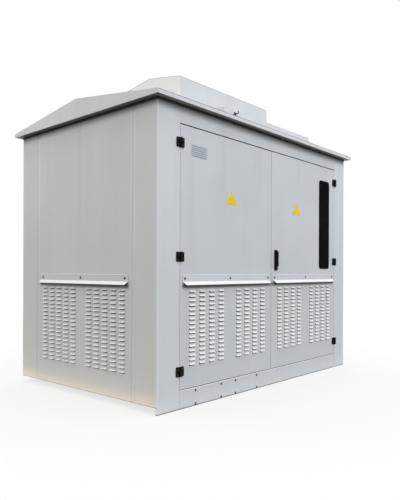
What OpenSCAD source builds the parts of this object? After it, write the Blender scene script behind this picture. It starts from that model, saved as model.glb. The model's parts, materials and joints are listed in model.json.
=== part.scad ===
// Outdoor transformer kiosk: a sheet-steel house with louvred double doors,
// louvred sides, a low gable roof and a raised vent cowl.
// Origin at ground level under the middle of the house, front towards -Y, +Z up.

/* [Body] */
// Width of the house across the front
body_w = 2516; // [2200:1:3000]
// Depth of the house from front face to rear face
body_d = 1600; // [1400:1:2200]
// Height from the ground to the underside of the eaves
eave_h = 2000; // [1700:1:2400]
// Thickness of the folded sheet
sheet = 3; // [2:0.5:4]
// Air gap between the ground and the side walls
side_gap = 45; // [20:1:80]
// Width of each corner post on the front and rear
post_w = 200; // [150:1:260]
// Outer radius of the bend at the corners of the house
corner_r = 8; // [6:0.5:14]
// Flat flange of a corner post beyond its bend
corner_flange = 8; // [4:0.5:20]
// Width of each plain strip beside a louvred side panel
strip_w = 250; // [180:1:300]
// Width of the joggle along the inner edge of a strip
joggle_w = 31; // [20:1:60]
// Depth of the joggle
joggle_d = 1; // [0.5:0.25:1.5]
// Depth of the folded jambs behind the wall faces
jamb_d = 45; // [38:1:60]
// Width of the stop lip at the back of a jamb
stop_w = 15; // [12:1:25]
// Seam beside a fixed side panel
seam = 1; // [0.5:0.5:4]
// Seam at the ends of a kick plate
kick_seam = 2; // [1:0.5:4]

/* [Base] */
// Height of the skids under the floor
skid_h = 117; // [100:1:160]
// Width of each skid
skid_w = 60; // [50:1:90]
// Wall of the skids and cross beams
skid_wall = 6; // [4:0.5:8]
// How far the skids stop short of the side walls
skid_inset = 175; // [120:1:240]
// Height of the cross beams
beam_h = 80; // [60:1:95]
// Distance from a skid end to the middle of the nearest cross beam
beam_inset = 283; // [150:1:400]
// Thickness of the floor plate
floor_t = 4; // [3:0.5:6]

/* [Doors] */
// Height of the header between the door opening and the eaves
header_h = 128; // [80:1:200]
// Gap above and below a door leaf
door_gap = 5; // [4:0.5:8]
// Gap between a door leaf and its post
hinge_gap = 3; // [3:0.5:6]
// Gap between the two door leaves
meeting_gap = 5; // [5:0.5:10]
// Clearance between a closed leaf and the stop lips behind it
stop_gap = 7; // [5:0.5:12]
// Width of the turned-in lip at the back of a leaf
leaf_lip = 18; // [12:1:30]

/* [Louvres] */
// Length of one louvre at the sheet
louvre_l = 62; // [50:1:74]
// Height of one louvre
louvre_h = 14; // [11:0.5:18]
// How far a louvre stands out from the sheet
louvre_out = 10; // [7:0.5:12]
// Shortening of a louvre's lower edge at each mitred end
louvre_mitre = 7; // [4:0.5:12]
// Height of the slot in the sheet below a louvre's lower edge
louvre_slot = 7; // [3:0.5:9]
// Thickness of the pressed louvre skin
louvre_skin = 2; // [1.5:0.25:2.5]
// Vertical spacing of the louvre rows
louvre_pitch = 30.3; // [26:0.1:40]
// Spacing of the louvre columns on a door
door_col_pitch = 102; // [90:1:120]
// Spacing of the louvre columns on a side panel
side_col_pitch = 92; // [86:1:110]
// Least distance from a panel's edge to a louvre
louvre_edge = 50; // [40:1:80]
// Least height of a louvre above a door's lower edge
door_louvre_foot = 140; // [100:1:200]
// Least height of a louvre above a side panel's lower edge
side_louvre_foot = 165; // [100:1:220]
// Distance from the top of a door hood down to the first louvre row
door_louvre_drop = 115; // [100:1:150]
// Distance from the top of a side hood down to the first louvre row
side_louvre_drop = 106; // [80:1:150]

/* [Drip hoods] */
// Height of the top of the hoods above the door opening's lower edge
hood_rise = 756; // [600:1:800]
// Height of the flat screwed flange
hood_flange = 42; // [30:1:48]
// How far a hood stands out
hood_out = 26; // [20:1:34]
// Drop of the sloping face
hood_drop = 24; // [20:1:30]
// Height of the turned-under lip
hood_lip = 11; // [6:0.5:13]
// How far the front lip is turned back
hood_turn = 10; // [3:0.5:13]
// Shortening of the outer edge at each slanted end
hood_mitre = 16; // [10:1:40]
// Thickness of the hood sheet
hood_skin = 2; // [1.5:0.5:2.5]
// Distance from a leaf or panel edge to the end of its hood
hood_margin = 22; // [8:1:40]

/* [Hinges] */
// Height of one hinge
hinge_h = 64; // [50:1:90]
// Width of one hinge leaf from the pin
hinge_leaf_w = 36; // [28:1:50]
// Thickness of a hinge leaf
hinge_t = 6; // [4:0.5:8]
// Radius of the outer corners of a hinge leaf
hinge_corner_r = 7; // [4:0.5:12]
// Distance of the hinge pin in front of the wall face
pin_out = 10; // [9:0.5:14]
// Radius of the hinge knuckle
knuckle_r = 8; // [6:0.5:8.5]
// Radius of the hinge pin
pin_r = 4; // [3:0.5:5]
// Running clearance round a pin
pin_play = 0.08; // [0.03:0.01:0.1]
// Clearance between the knuckles of one hinge
knuckle_gap = 0.3; // [0.2:0.1:0.6]
// Distance from a door end to the middle of its end hinges
hinge_inset = 120; // [80:1:200]
// Clearance between the top of a hood and the middle hinge
hinge_clear = 88; // [20:1:140]

/* [Handle] */
// Width of the handle plate
handle_w = 38; // [32:1:50]
// Height of the handle plate
handle_h = 166; // [150:1:220]
// Thickness of the handle plate
handle_t = 8; // [6:0.5:12]
// Radius of the handle plate's corners
handle_corner_r = 9; // [4:0.5:14]
// Clearance between the top of a hood and the handle plate
handle_clear = 35; // [15:1:120]
// Distance from the meeting edge of the right leaf to the middle of the handle
handle_inset = 61; // [50:1:120]
// Distance from the top of the plate to the lever pivot
pivot_inset = 24; // [20:1:40]
// Distance from the bottom of the plate to the middle of the lock barrel
lock_inset = 17; // [15:1:24]
// Radius of the lock barrel
lock_r = 10; // [7:0.5:12]
// How far the lock barrel stands out of the plate
lock_out = 14; // [8:0.5:20]
// Width of the lever
lever_w = 26; // [20:1:30]
// Thickness of the lever
lever_t = 13; // [9:0.5:18]
// Clearance between the lever and the pieces round it
lever_gap = 5; // [5:0.5:8]
// Radius of the lever's lower corners
lever_corner_r = 6; // [3:0.5:9]
// Radius of the lever shaft
shaft_r = 6; // [4:0.5:8]

/* [Roof] */
// How far the roof overhangs the walls all round
overhang = 48; // [36:1:80]
// Height of the fascia
fascia_h = 28; // [20:1:50]
// Rise of the roof from the top of the fascia to the ridge
roof_rise = 114; // [80:1:180]

/* [Vent cowl] */
// Width of the cowl and of the saddle under it
cowl_w = 1190; // [1000:1:1400]
// Depth of the cowl
cowl_d = 694; // [620:1:900]
// Height of the front wall of the cowl
cowl_h = 209; // [160:1:280]
// Rise of the cowl lid from the front wall to its ridge
cowl_rise = 56; // [40:1:90]
// Clearance between the ridge of the saddle and the cowl walls
cowl_gap = 16; // [12:1:40]
// Outer radius of the bends at the cowl's corners
cowl_corner_r = 8; // [5:0.5:14]
// Height of the saddle above the roof sheets
saddle_h = 54; // [40:1:64]
// How far the saddle stops short of the front and rear faces
saddle_inset = 8; // [5:1:40]
// Distance from a cowl end to the air throat
throat_end = 145; // [110:1:200]
// Distance from the front or rear of the cowl to the air throat
throat_side = 112; // [90:1:150]
// Height of the throat curb above the ridge of the saddle
curb_rise = 94; // [70:1:120]
// Height of one cowl bracket
bracket_h = 60; // [40:1:65]
// Thickness of one cowl bracket
bracket_t = 5; // [3:0.5:8]
// Distance from a corner of the curb to the nearest bracket
bracket_inset = 120; // [60:1:150]

/* [Roof hook] */
// Distance from the left end of the saddle to the hook
hook_inset = 126; // [60:1:300]
// Radius of the hook's centreline
hook_r = 22; // [16:0.5:26]
// Angle that the hook turns through
hook_turn = 100; // [60:5:170]
// Length of the hook's straight tail
hook_tail = 30; // [10:1:40]
// Radius of the tail
hook_tail_r = 2.5; // [2:0.25:3]
// Radius of the hook's rod
hook_rod_r = 4; // [3:0.5:5]
// Side of the square foot of the hook
hook_foot = 24; // [20:1:40]
// Thickness of the foot of the hook
hook_foot_t = 4; // [3:0.5:6]
// How far the hook's centreline stands out from its foot
hook_out = 14; // [8:0.5:20]

/* [Hidden] */
$fn = 48;
eps = 1;
half_w = body_w / 2;
half_d = body_d / 2;
floor_top = skid_h + floor_t;
open_bottom = floor_top + sheet;
kick_r = open_bottom - skid_h;
open_top = eave_h - header_h;
open_half = half_w - post_w;
fixed_d = jamb_d - sheet;
leaf_d = fixed_d - stop_gap;
leaf_w = open_half - hinge_gap - meeting_gap / 2;
leaf_h = open_top - open_bottom - 2 * door_gap;
leaf_z = open_bottom + door_gap;
leaf_mid = (meeting_gap + leaf_w) / 2;
post_return = corner_r + corner_flange;
side_half = half_d - post_return;
side_open = half_d - strip_w;
side_panel_w = 2 * (side_open - seam);
hood_top = open_bottom + hood_rise;
hood_bend = hood_top - hood_flange;
louvre_in = louvre_out - louvre_skin;
louvre_in_h = louvre_h * louvre_in / louvre_out;
roof_half = half_d + overhang;
roof_end = half_w + overhang;
fascia_top = eave_h + fascia_h;
ridge_z = fascia_top + roof_rise;
saddle_half = half_d - saddle_inset;
saddle_top = ridge_z + saddle_h;
cowl_half = cowl_d / 2;
cowl_bottom = saddle_top + cowl_gap;
cowl_top = cowl_bottom + cowl_h;
throat_w = cowl_w - 2 * throat_end;
throat_d = cowl_d - 2 * throat_side;
curb_top = saddle_top + curb_rise;
pin_x = open_half - hinge_gap / 2;
hinge_mid = hood_top + hinge_clear + hinge_h / 2;
hinge_heights = [leaf_z + hinge_inset, hinge_mid, leaf_z + leaf_h - hinge_inset];
handle_x = meeting_gap / 2 + handle_inset;
handle_z = hood_top + handle_clear + handle_h / 2;
pivot_z = handle_z + handle_h / 2 - pivot_inset;
lock_z = handle_z - handle_h / 2 + lock_inset;
lever_l = pivot_z - lock_z - lock_r - lever_gap;
body_grey = [0.77, 0.79, 0.81];
roof_grey = [0.86, 0.88, 0.89];
base_grey = [0.45, 0.46, 0.47];
black = [0.06, 0.06, 0.07];

// Height of the roof sheets at a distance from the ridge
function roof_z(y) = fascia_top + (roof_half - abs(y)) * roof_rise / roof_half;

// Outline across the roof between two heights above the roof sheets
function roof_band(reach, low, high) = [
    [-reach, roof_z(reach) + low],
    [-reach, roof_z(reach) + high],
    [0, ridge_z + high],
    [reach, roof_z(reach) + high],
    [reach, roof_z(reach) + low],
    [0, ridge_z + low],
];

// Box between two corners
module block(low, high) {
    translate(low) cube(high - low);
}

// Outline in Y and Z carried along X
module along_x(x0, x1, outline) {
    translate([x0, 0, 0]) rotate([90, 0, 90]) linear_extrude(x1 - x0) polygon(outline);
}

// Rod along -y from a point
module rod_out(r, length) {
    rotate([90, 0, 0]) cylinder(r = r, h = length);
}

// Upright prism with round corners, centred on the origin
module round_prism(w, d, r, low, high) {
    block([-w / 2 + r, -d / 2, low], [w / 2 - r, d / 2, high]);
    block([-w / 2, -d / 2 + r, low], [w / 2, d / 2 - r, high]);
    for (sx = [-1, 1], sy = [-1, 1])
        translate([sx * (w / 2 - r), sy * (d / 2 - r), low]) cylinder(r = r, h = high - low);
}

// Flat plate with round corners, from y = 0 out to y = -t
module round_plate(x0, x1, z0, z1, t, r) {
    block([x0 + r, -t, z0], [x1 - r, 0, z1]);
    block([x0, -t, z0 + r], [x1, 0, z1 - r]);
    for (x = [x0 + r, x1 - r], z = [z0 + r, z1 - r])
        translate([x, 0, z]) rod_out(r, t);
}

// Wall frames: face at y = 0 looking towards -y, inside towards +y
module on_front() {
    translate([0, -half_d, 0]) children();
}

module on_rear() {
    rotate([0, 0, 180]) translate([0, -half_d, 0]) children();
}

module on_left() {
    rotate([0, 0, -90]) translate([0, -half_w, 0]) children();
}

module on_right() {
    rotate([0, 0, 90]) translate([0, -half_w, 0]) children();
}

module mirrored() {
    mirror([1, 0, 0]) children();
}

module turned() {
    rotate([0, 0, 180]) children();
}

// Post at the left of a front or rear wall: face, corner bend and flange, jamb return and stop lip
module wall_post(foot) {
    color(body_grey) union() {
        block([-half_w + corner_r, 0, foot], [-open_half, sheet, eave_h]);
        block([-half_w, corner_r, foot], [-half_w + sheet, post_return, eave_h]);
        translate([-half_w + corner_r, corner_r, foot]) quarter_bend(corner_r, eave_h - foot);
        block([-open_half - sheet, 0, floor_top], [-open_half, jamb_d, eave_h]);
        block([-open_half - sheet, fixed_d, open_bottom], [-open_half + stop_w, jamb_d, open_top]);
    }
}

// Quarter-round bend of sheet about the Z axis, in the -x -y quarter
module quarter_bend(r, h) {
    difference() {
        intersection() {
            cylinder(r = r, h = h);
            block([-r, -r, 0], [0, 0, h]);
        }
        translate([0, 0, -eps]) cylinder(r = r - sheet, h = h + 2 * eps);
    }
}

// Header over an opening: face, soffit return, stop lip and top flange
module wall_header() {
    color(body_grey) union() {
        block([-open_half, 0, open_top], [open_half, sheet, eave_h]);
        block([-open_half, 0, open_top], [open_half, jamb_d, open_top + sheet]);
        block([-open_half, 0, eave_h - sheet], [open_half, jamb_d, eave_h]);
        block([-open_half + stop_w, fixed_d, open_top - stop_w],
              [open_half - stop_w, jamb_d, open_top + sheet]);
    }
}

// Kick plate under an opening: face, rounded sill on the floor and stop lip
module wall_kick_plate() {
    reach = open_half - kick_seam;
    color(body_grey) union() {
        block([-reach, 0, 0], [reach, sheet, open_bottom - kick_r]);
        translate([-reach, kick_r, open_bottom - kick_r]) rotate([0, 90, 0])
            quarter_bend(kick_r, 2 * reach);
        block([-reach, kick_r, floor_top], [reach, jamb_d, open_bottom]);
        block([-open_half, fixed_d - stop_w, floor_top], [open_half, jamb_d, open_bottom]);
        block([-open_half + stop_w, fixed_d, floor_top],
              [open_half - stop_w, jamb_d, open_bottom + stop_w]);
    }
}

// Plain strip at the right of a side wall: skin with a joggle, corner flange, jamb and stop lip
module side_strip() {
    color(body_grey) difference() {
        union() {
            block([side_open, 0, side_gap], [side_half, sheet, eave_h]);
            block([side_half - sheet, 0, side_gap], [side_half, fixed_d - sheet, eave_h]);
            block([side_open, 0, side_gap], [side_open + sheet, jamb_d, eave_h]);
            block([side_open - stop_w, fixed_d, side_gap], [side_open + sheet, jamb_d, eave_h]);
        }
        block([side_open + sheet, -eps, side_gap - eps],
              [side_open + sheet + joggle_w, joggle_d, eave_h + eps]);
    }
}

// Folded tray with its face at y = 0 and a turned-in lip at its back
module tray(w, d, h) {
    difference() {
        block([-w / 2, 0, 0], [w / 2, d, h]);
        block([-w / 2 + sheet, sheet, sheet], [w / 2 - sheet, d - sheet, h - sheet]);
        block([-w / 2 + sheet + leaf_lip, sheet, sheet + leaf_lip],
              [w / 2 - sheet - leaf_lip, d + eps, h - sheet - leaf_lip]);
    }
}

// Space between the mitred ends of one louvre, drawn in by a margin
module louvre_mitres(inset) {
    linear_extrude(3 * louvre_h, center = true) polygon([
        [inset - louvre_l / 2, sheet + eps],
        [louvre_l / 2 - inset, sheet + eps],
        [louvre_l / 2 - inset, 0],
        [louvre_l / 2 - inset - louvre_mitre, -louvre_out],
        [inset + louvre_mitre - louvre_l / 2, -louvre_out],
        [inset - louvre_l / 2, 0],
    ]);
}

// Pressed form of one louvre: a wedge with mitred ends, lower edge at z = 0
module louvre_form() {
    intersection() {
        along_x(-louvre_l / 2, louvre_l / 2, [
            [sheet / 2, 0],
            [sheet / 2, louvre_h],
            [0, louvre_h],
            [-louvre_out, 0],
        ]);
        louvre_mitres(0);
    }
}

// Air way of one louvre: the space under its skin and a slot through the sheet below it
module louvre_way() {
    intersection() {
        along_x(-louvre_l / 2, louvre_l / 2, [
            [sheet + eps, -louvre_slot],
            [sheet + eps, louvre_in_h],
            [0, louvre_in_h],
            [-louvre_in, 0],
            [-louvre_in, -louvre_slot],
        ]);
        louvre_mitres(louvre_skin);
    }
}

// Places of a louvre bank: two groups of columns either side of a plain middle
module louvre_bank(w, col_pitch, first_z, foot) {
    cols = floor((w / 2 - louvre_edge - louvre_l / 2) / col_pitch);
    rows = floor((first_z - foot) / louvre_pitch) + 1;
    for (side = [-1, 1], col = [1:cols], row = [0:rows - 1])
        translate([side * col * col_pitch, 0, first_z - row * louvre_pitch]) children();
}

// Tray with a bank of pressed louvres
module louvred_tray(w, d, h, col_pitch, first_z, foot) {
    color(body_grey) difference() {
        union() {
            tray(w, d, h);
            louvre_bank(w, col_pitch, first_z, foot) louvre_form();
        }
        louvre_bank(w, col_pitch, first_z, foot) louvre_way();
    }
}

// Tray of a door leaf or of a fixed rear panel, on the left half of an opening
module leaf_tray(d) {
    translate([-leaf_mid, 0, leaf_z])
        louvred_tray(leaf_w, d, leaf_h, door_col_pitch,
                     hood_top - door_louvre_drop - leaf_z, door_louvre_foot);
}

module side_panel() {
    translate([0, 0, side_gap])
        louvred_tray(side_panel_w, fixed_d, eave_h - side_gap, side_col_pitch,
                     hood_top - side_louvre_drop - side_gap, side_louvre_foot);
}

// Space between the slanted ends of a drip hood, drawn in by a margin
module hood_ends(w, inset) {
    low = hood_bend - hood_drop - hood_lip - eps;
    top = w / 2 - inset;
    foot = top - (hood_bend - low) * hood_mitre / hood_drop;
    rotate([90, 0, 0]) linear_extrude(hood_out)
        polygon([[-top, hood_bend], [top, hood_bend], [foot, low], [-foot, low]]);
}

// Drip hood over a louvre bank: flat flange, sloping face and turned-under lips
module drip_hood(w) {
    low = hood_bend - hood_drop;
    color(body_grey) union() {
        block([-w / 2, -hood_skin, hood_bend - hood_skin], [w / 2, 0, hood_top]);
        difference() {
            intersection() {
                along_x(-w / 2, w / 2, [
                    [0, hood_bend],
                    [-hood_out, low],
                    [hood_turn - hood_out, low - hood_lip],
                    [0, hood_bend - hood_lip],
                ]);
                hood_ends(w, 0);
            }
            intersection() {
                along_x(-w / 2, w / 2, [
                    [0, hood_bend - hood_skin],
                    [hood_skin - hood_out, low],
                    [hood_turn + hood_skin - hood_out, low - hood_lip - eps],
                    [0, low - hood_lip - eps],
                ]);
                hood_ends(w, hood_skin);
            }
        }
    }
}

module leaf_hood() {
    translate([-leaf_mid, 0, 0]) drip_hood(leaf_w - 2 * hood_margin);
}

module side_hood() {
    drip_hood(side_panel_w - 2 * hood_margin);
}

// Plate of one hinge leaf on the -x side of the pin, round at its outer corners
module hinge_plate() {
    translate([0, pin_out, 0]) intersection() {
        round_plate(-hinge_leaf_w, 0, -hinge_h / 2, hinge_h / 2, hinge_t, hinge_corner_r);
        block([-hinge_leaf_w, -hinge_t, -hinge_h / 2], [-knuckle_r - eps, 0, hinge_h / 2]);
    }
}

// Knuckle from the pin to the plate on its -x side, between two heights
module hinge_knuckle(low, high) {
    block([-knuckle_r - 2 * eps, 0, low], [0, pin_out, high]);
    translate([0, 0, low]) cylinder(r = knuckle_r, h = high - low);
}

// Fixed half of a left-hand hinge: plate, lower knuckle and pin
module hinge_frame_leaf() {
    color(black) translate([-pin_x, -pin_out, 0]) union() {
        hinge_plate();
        hinge_knuckle(-hinge_h / 2, -knuckle_gap);
        translate([0, 0, -hinge_h / 2]) cylinder(r = pin_r, h = hinge_h - 2 * pin_r);
    }
}

// Moving half of a left-hand hinge: plate and upper knuckle bored for the pin
module hinge_door_leaf() {
    color(black) translate([-pin_x, -pin_out, 0]) difference() {
        mirrored() union() {
            hinge_plate();
            hinge_knuckle(0, hinge_h / 2);
        }
        translate([0, 0, -eps]) cylinder(r = pin_r + pin_play, h = hinge_h / 2 - pin_r + eps);
    }
}

module hinge_frame_leaves() {
    on_front() for (z = hinge_heights) translate([0, 0, z]) hinge_frame_leaf();
}

module hinge_door_leaves() {
    on_front() for (z = hinge_heights) translate([0, 0, z]) hinge_door_leaf();
}

// Escutcheon of the door handle with its lock barrel and the shaft bore
module handle_plate() {
    color(black) on_front() difference() {
        union() {
            round_plate(handle_x - handle_w / 2, handle_x + handle_w / 2, handle_z - handle_h / 2,
                        handle_z + handle_h / 2, handle_t, handle_corner_r);
            translate([handle_x, 0, lock_z]) rod_out(lock_r, handle_t + lock_out);
        }
        translate([handle_x, eps, pivot_z]) rod_out(shaft_r + pin_play, handle_t + 2 * eps);
    }
}

// Lever that hangs from its shaft over the plate
module handle_lever() {
    color(black) on_front() translate([handle_x, 0, pivot_z]) union() {
        translate([0, -knuckle_gap, 0]) rod_out(shaft_r, handle_t + lever_gap + lever_t / 2);
        translate([0, -handle_t - lever_gap, 0]) {
            rod_out(lever_w / 2, lever_t);
            round_plate(-lever_w / 2, lever_w / 2, -lever_l, lever_corner_r, lever_t, lever_corner_r);
        }
    }
}

// Air throat through the roof and the saddle
module throat_cut() {
    block([-throat_w / 2, -throat_d / 2, fascia_top], [throat_w / 2, throat_d / 2, cowl_top]);
}

// Front half of the gable roof: sloping sheet, fascia and soffit, with the air throat cut through
module roof_sheet() {
    color(roof_grey) difference() {
        along_x(-roof_end + sheet, roof_end - sheet, [
            [-roof_half, eave_h],
            [-roof_half, fascia_top],
            [0, ridge_z],
            [0, ridge_z - sheet],
            [-roof_half + sheet, roof_z(roof_half - sheet) - sheet],
            [-roof_half + sheet, eave_h + sheet],
            [-half_d + sheet, eave_h + sheet],
            [-half_d + sheet, eave_h],
        ]);
        throat_cut();
    }
}

// Left gable end: face under the roof line and soffit
module gable() {
    color(roof_grey) union() {
        along_x(-roof_end, -roof_end + sheet, [
            [-roof_half, eave_h],
            [roof_half, eave_h],
            [roof_half, fascia_top],
            [0, ridge_z],
            [-roof_half, fascia_top],
        ]);
        block([-roof_end, -half_d + sheet, eave_h], [-half_w + jamb_d, half_d - sheet, eave_h + sheet]);
    }
}

// Raised saddle over the ridge that carries the cowl
module roof_saddle() {
    color(roof_grey) difference() {
        along_x(-cowl_w / 2, cowl_w / 2, roof_band(saddle_half, 0, saddle_h));
        along_x(-cowl_w / 2 + sheet, cowl_w / 2 - sheet,
                roof_band(saddle_half - sheet, -saddle_h, saddle_h - sheet));
        throat_cut();
    }
}

// Upstand round the air throat
module cowl_curb() {
    low = roof_z(throat_d / 2) - sheet;
    color(base_grey) difference() {
        block([-throat_w / 2, -throat_d / 2, low], [throat_w / 2, throat_d / 2, curb_top]);
        block([-throat_w / 2 + sheet, -throat_d / 2 + sheet, low - eps],
              [throat_w / 2 - sheet, throat_d / 2 - sheet, curb_top + eps]);
    }
}

// Flat brackets from the ends of the curb to the cowl walls
module cowl_brackets() {
    far = throat_d / 2 - bracket_inset;
    color(base_grey) for (turn = [0, 180], y = [-far - bracket_t, far])
        rotate([0, 0, turn])
            block([throat_w / 2, y, curb_top - bracket_h], [cowl_w / 2 - sheet, y + bracket_t, curb_top]);
}

// Walls of the cowl, round at the corners and pointed at the ends under the lid
module cowl_walls() {
    color(roof_grey) difference() {
        intersection() {
            along_x(-cowl_w / 2, cowl_w / 2, [
                [-cowl_half, cowl_bottom],
                [cowl_half, cowl_bottom],
                [cowl_half, cowl_top - sheet],
                [0, cowl_top + cowl_rise - sheet],
                [-cowl_half, cowl_top - sheet],
            ]);
            round_prism(cowl_w, cowl_d, cowl_corner_r, cowl_bottom, cowl_top + cowl_rise);
        }
        round_prism(cowl_w - 2 * sheet, cowl_d - 2 * sheet, cowl_corner_r - sheet,
                    cowl_bottom - eps, cowl_top + cowl_rise + eps);
    }
}

// Folded lid of the cowl
module cowl_lid() {
    color(roof_grey) intersection() {
        along_x(-cowl_w / 2, cowl_w / 2, [
            [-cowl_half, cowl_top - sheet],
            [-cowl_half, cowl_top],
            [0, cowl_top + cowl_rise],
            [cowl_half, cowl_top],
            [cowl_half, cowl_top - sheet],
            [0, cowl_top + cowl_rise - sheet],
        ]);
        round_prism(cowl_w, cowl_d, cowl_corner_r, cowl_bottom, cowl_top + cowl_rise);
    }
}

// Open hook of round rod with a straight tail on a square foot, on the front of the saddle
module roof_hook() {
    hook_z = roof_z(saddle_half) + saddle_h / 2;
    color(black) translate([-cowl_w / 2 + hook_inset, -saddle_half, hook_z]) union() {
        round_plate(-hook_foot / 2, hook_foot / 2, -hook_foot / 2, hook_foot / 2, hook_foot_t, hook_rod_r);
        rod_out(hook_rod_r, hook_foot_t + hook_out + hook_rod_r);
        translate([0, -hook_foot_t - hook_out, 0]) {
            rotate([0, -90, 0]) cylinder(r = hook_tail_r, h = hook_tail);
            translate([0, 0, hook_r]) rotate([90, 0, 0]) rotate([0, 0, -90])
                rotate_extrude(angle = hook_turn) translate([hook_r, 0]) circle(r = hook_rod_r);
        }
    }
}

// Hollow skid behind a kick plate
module skid() {
    reach = half_w - skid_inset;
    color(base_grey) difference() {
        block([-reach, sheet, 0], [reach, sheet + skid_w, skid_h]);
        block([-reach - eps, sheet + skid_wall, skid_wall],
              [reach + eps, sheet + skid_w - skid_wall, skid_h - skid_wall]);
    }
}

// Hollow cross beams between the skids
module cross_beams() {
    reach = half_d - sheet - skid_w;
    outer = half_w - skid_inset - beam_inset;
    low = skid_h - beam_h;
    color(base_grey) for (x = [-outer, 0, outer]) difference() {
        block([x - skid_w / 2, -reach, low], [x + skid_w / 2, reach, skid_h]);
        block([x - skid_w / 2 + skid_wall, -reach - eps, low + skid_wall],
              [x + skid_w / 2 - skid_wall, reach + eps, skid_h - skid_wall]);
    }
}

module floor_plate() {
    reach = half_w - jamb_d;
    depth = half_d - kick_r;
    color(base_grey) block([-reach, -depth, skid_h], [reach, depth, floor_top]);
}

on_front() skid();  // front_skid
on_rear() skid();  // rear_skid
cross_beams();
floor_plate();
on_front() wall_post(0);  // front_left_post
on_front() mirrored() wall_post(0);  // front_right_post
on_rear() mirrored() wall_post(side_gap);  // rear_left_post
on_rear() wall_post(side_gap);  // rear_right_post
on_front() wall_header();  // front_header
on_rear() wall_header();  // rear_header
on_front() wall_kick_plate();  // front_kick_plate
on_rear() wall_kick_plate();  // rear_kick_plate
on_left() side_strip();  // left_front_strip
on_left() mirrored() side_strip();  // left_rear_strip
on_right() mirrored() side_strip();  // right_front_strip
on_right() side_strip();  // right_rear_strip
on_left() side_panel();  // left_louvre_panel
on_right() side_panel();  // right_louvre_panel
on_rear() mirrored() leaf_tray(fixed_d);  // rear_left_panel
on_rear() leaf_tray(fixed_d);  // rear_right_panel
on_left() side_hood();  // left_side_hood
on_right() side_hood();  // right_side_hood
on_rear() mirrored() leaf_hood();  // rear_left_hood
on_rear() leaf_hood();  // rear_right_hood
roof_sheet();  // roof_front_sheet
turned() roof_sheet();  // roof_rear_sheet
gable();  // left_gable
turned() gable();  // right_gable
roof_saddle();
cowl_curb();
cowl_brackets();
cowl_walls();
cowl_lid();
roof_hook();
hinge_frame_leaves();  // left_hinge_frame_leaves
mirrored() hinge_frame_leaves();  // right_hinge_frame_leaves
on_front() leaf_tray(leaf_d);  // left_door_leaf
on_front() leaf_hood();  // left_door_hood
hinge_door_leaves();  // left_hinge_door_leaves
on_front() mirrored() leaf_tray(leaf_d);  // right_door_leaf
on_front() mirrored() leaf_hood();  // right_door_hood
mirrored() hinge_door_leaves();  // right_hinge_door_leaves
handle_plate();
handle_lever();
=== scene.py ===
# %% [markdown]
# # A transformer kiosk, dressed in Blender
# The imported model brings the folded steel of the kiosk: posts, doors, louvred panels, hoods, roof and cowl.
# This lesson gives that steel its finishes, and adds the small pieces that are put on last in the works:
# screws, seals, plates and the shaped lever of the handle. They could be placed by eye, but every packed
# piece tells its own box, so each place is taken from there. All lengths are metres.

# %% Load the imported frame
import json

import bpy
import bmesh
import numpy as np
from mathutils import Matrix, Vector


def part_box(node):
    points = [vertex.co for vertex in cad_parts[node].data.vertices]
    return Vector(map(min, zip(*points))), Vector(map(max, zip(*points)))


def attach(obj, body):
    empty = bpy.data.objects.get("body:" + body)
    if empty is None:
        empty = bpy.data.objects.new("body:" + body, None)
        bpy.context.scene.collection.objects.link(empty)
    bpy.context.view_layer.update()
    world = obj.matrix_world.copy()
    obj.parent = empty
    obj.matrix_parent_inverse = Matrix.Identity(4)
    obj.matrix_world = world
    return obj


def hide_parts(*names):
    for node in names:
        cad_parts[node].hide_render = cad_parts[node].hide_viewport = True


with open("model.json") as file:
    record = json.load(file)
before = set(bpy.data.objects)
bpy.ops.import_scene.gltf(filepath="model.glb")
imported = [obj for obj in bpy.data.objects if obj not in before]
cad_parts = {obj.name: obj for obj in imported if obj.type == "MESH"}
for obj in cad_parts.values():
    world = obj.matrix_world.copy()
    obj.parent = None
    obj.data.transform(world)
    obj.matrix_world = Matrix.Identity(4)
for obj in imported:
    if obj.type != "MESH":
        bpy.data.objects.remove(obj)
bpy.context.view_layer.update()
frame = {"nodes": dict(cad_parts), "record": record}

# %% [markdown]
# ## The camera
# The photograph was taken at chest height with a level lens, so upright edges stay upright. A camera tilted
# up would take in the roof too, but its edges would lean together. So the camera is level, with a little
# vertical shift.

# %% Camera
CAMERA_PLACE = (-3.553, -3.193, 0.903)
CAMERA_TURN = np.radians(-48.39)
CAMERA_LEVEL = np.pi / 2
CAMERA_ROLL = np.radians(0.18)
LENS_MM = 38.13
SENSOR_MM = 36.0
SHIFT_UP = 0.0432
CLIP_FAR = 500.0


def add_camera():
    """Level camera turned about Z, with the sensor along the taller side of the frame."""
    lens = bpy.data.cameras.new("photo_camera")
    lens.lens = LENS_MM
    lens.sensor_width = SENSOR_MM
    lens.shift_y = SHIFT_UP
    lens.clip_end = CLIP_FAR
    camera = bpy.data.objects.new("photo_camera", lens)
    camera.matrix_world = (Matrix.Translation(CAMERA_PLACE)
                           @ Matrix.Rotation(CAMERA_TURN, 4, "Z")
                           @ Matrix.Rotation(CAMERA_LEVEL, 4, "X")
                           @ Matrix.Rotation(CAMERA_ROLL, 4, "Z"))
    bpy.context.collection.objects.link(camera)
    bpy.context.scene.camera = camera
    return camera


print("camera:", add_camera().name)
bpy.context.scene.view_settings.view_transform = "Standard"

# %% [markdown]
# ## Shader sums as Python
# A finish is a sum of small patterns: clouds of tone, streaks of rain, dust near the ground. It could be
# wired with a line of code for each node and link, but then the sum is hard to see. So a small class wraps
# a socket, and Python's own signs add the Math nodes.

# %% The wire class


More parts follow.
